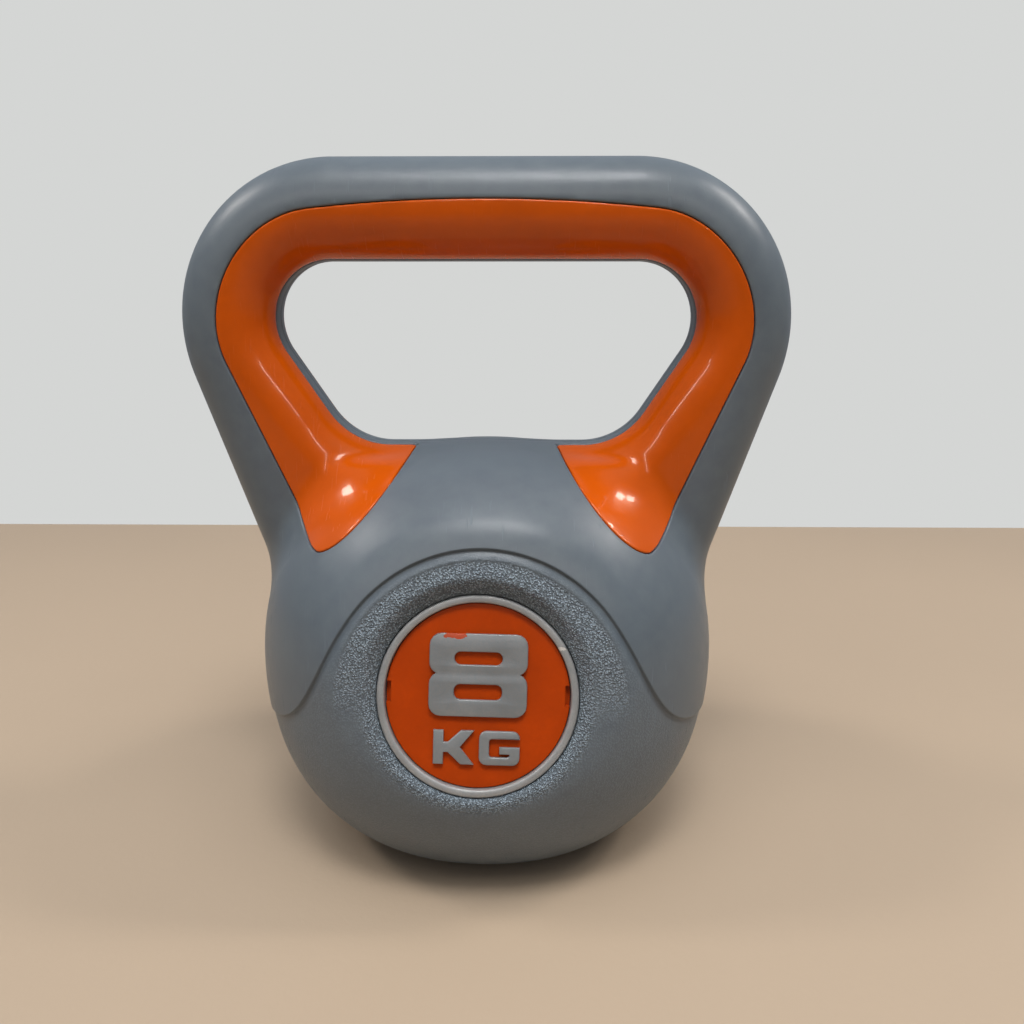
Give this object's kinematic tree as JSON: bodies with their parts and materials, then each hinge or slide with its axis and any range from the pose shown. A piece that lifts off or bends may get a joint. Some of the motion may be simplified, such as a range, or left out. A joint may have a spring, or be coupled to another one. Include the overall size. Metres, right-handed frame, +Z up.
{
  "type": "kettlebell",
  "caption": "Cement-filled kettlebell with a plastic shell, a wide two-handed loop handle with soft grip panels, and a round weight badge on each face.",
  "frame": {"origin": "middle of the flat base, on the surface that it stands on", "axes": "+Z up, +X along the handle bar to the right, front face towards -Y"},
  "size_m": [0.2356, 0.164, 0.27],
  "materials": {
    "shell_plastic": "satin moulded grey plastic, fine grain on the bowl",
    "grip_plastic": "glossy orange soft plastic",
    "badge_field": "satin orange",
    "badge_relief": "silver-grey coating, satin",
    "cement": "rough cast cement and sand",
    "rod_steel": "plain drawn steel",
    "plug_plastic": "dark grey moulded plastic"
  },
  "bodies": {
    "root": {"shell": "shell_plastic", "grip_inlay_front": "grip_plastic", "grip_inlay_back": "grip_plastic", "badge_disc_front": "badge_field", "badge_disc_back": "badge_field", "badge_ring_front": "badge_relief", "badge_ring_back": "badge_relief", "badge_numeral_8_front": "badge_relief", "badge_numeral_8_back": "badge_relief", "badge_letter_k_front": "badge_relief", "badge_letter_k_back": "badge_relief", "badge_letter_g_front": "badge_relief", "badge_letter_g_back": "badge_relief", "cement_core": "cement", "handle_rod": "rod_steel", "filler_plug": "plug_plastic"}
  },
  "joints": []
}
